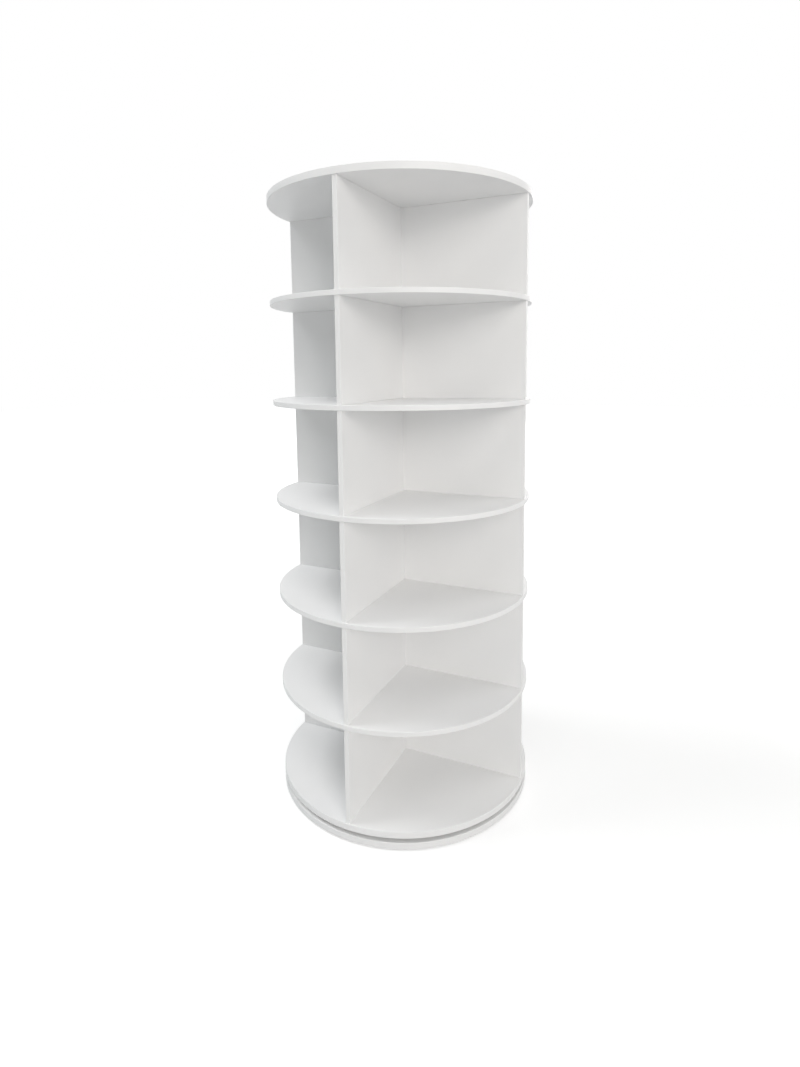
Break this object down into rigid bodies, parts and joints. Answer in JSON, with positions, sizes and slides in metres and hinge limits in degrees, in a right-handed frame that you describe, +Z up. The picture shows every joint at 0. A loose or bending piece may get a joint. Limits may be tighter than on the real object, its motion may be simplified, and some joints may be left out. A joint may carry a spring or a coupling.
{
  "type": "rotating shoe tower",
  "caption": "Round free-standing shoe tower: tiers of round shelf boards held by crossed panels, turning on a ball-bearing base.",
  "frame": {"origin": "on the floor, under the middle of the tower", "axes": "+Z up along the turning axis; the long panels run along X; the front half panels stand towards -Y"},
  "size_m": [0.5, 0.5, 1.148],
  "materials": {
    "white_board": "satin white laminate on board",
    "bearing_ring": "plain turned aluminium",
    "screw_steel": "bright zinc plated",
    "ball_cage": "natural nylon",
    "pad_rubber": "matt black",
    "edge_band": "satin white edge band",
    "dowel_wood": "bare beech",
    "ball_steel": "polished bearing steel"
  },
  "bodies": {
    "base": {"base_board": "white_board", "turntable_outer_ring": "bearing_ring", "base_screw_1": "screw_steel", "base_screw_2": "screw_steel", "base_screw_3": "screw_steel", "base_screw_4": "screw_steel", "foot_pad_1": "pad_rubber", "foot_pad_2": "pad_rubber", "foot_pad_3": "pad_rubber", "foot_pad_4": "pad_rubber", "foot_pad_5": "pad_rubber", "foot_pad_6": "pad_rubber"},
    "ball_cage": {"ball_cage": "ball_cage"},
    "tower": {"turntable_inner_ring": "bearing_ring", "ring_screw_1": "screw_steel", "ring_screw_2": "screw_steel", "ring_screw_3": "screw_steel", "ring_screw_4": "screw_steel", "bottom_board": "white_board", "panel_screw_1": "screw_steel", "panel_screw_2": "screw_steel", "panel_screw_3": "screw_steel", "panel_screw_4": "screw_steel", "panel_screw_5": "screw_steel", "panel_screw_6": "screw_steel", "long_panel_1": "white_board", "front_half_panel_1": "white_board", "rear_half_panel_1": "white_board", "long_panel_2": "white_board", "front_half_panel_2": "white_board", "rear_half_panel_2": "white_board", "long_panel_3": "white_board", "front_half_panel_3": "white_board", "rear_half_panel_3": "white_board", "long_panel_4": "white_board", "front_half_panel_4": "white_board", "rear_half_panel_4": "white_board", "long_panel_5": "white_board", "front_half_panel_5": "white_board", "rear_half_panel_5": "white_board", "long_panel_6": "white_board", "front_half_panel_6": "white_board", "rear_half_panel_6": "white_board", "shelf_board_1": "white_board", "shelf_board_2": "white_board", "shelf_board_3": "white_board", "shelf_board_4": "white_board", "shelf_board_5": "white_board", "top_board": "white_board"}
  },
  "joints": [
    {"name": "tower_spin", "type": "hinge", "parent": "base", "child": "tower", "pos_m": [0, 0, 0.019], "axis": [0, 0, 1], "continuous": true},
    {"name": "ball_cage_spin", "type": "hinge", "parent": "base", "child": "ball_cage", "pos_m": [0, 0, 0.019], "axis": [0, 0, 1], "continuous": true}
  ],
  "couplings": [
    {"joint": "ball_cage_spin", "follows": "tower_spin", "ratio": 0.5}
  ]
}
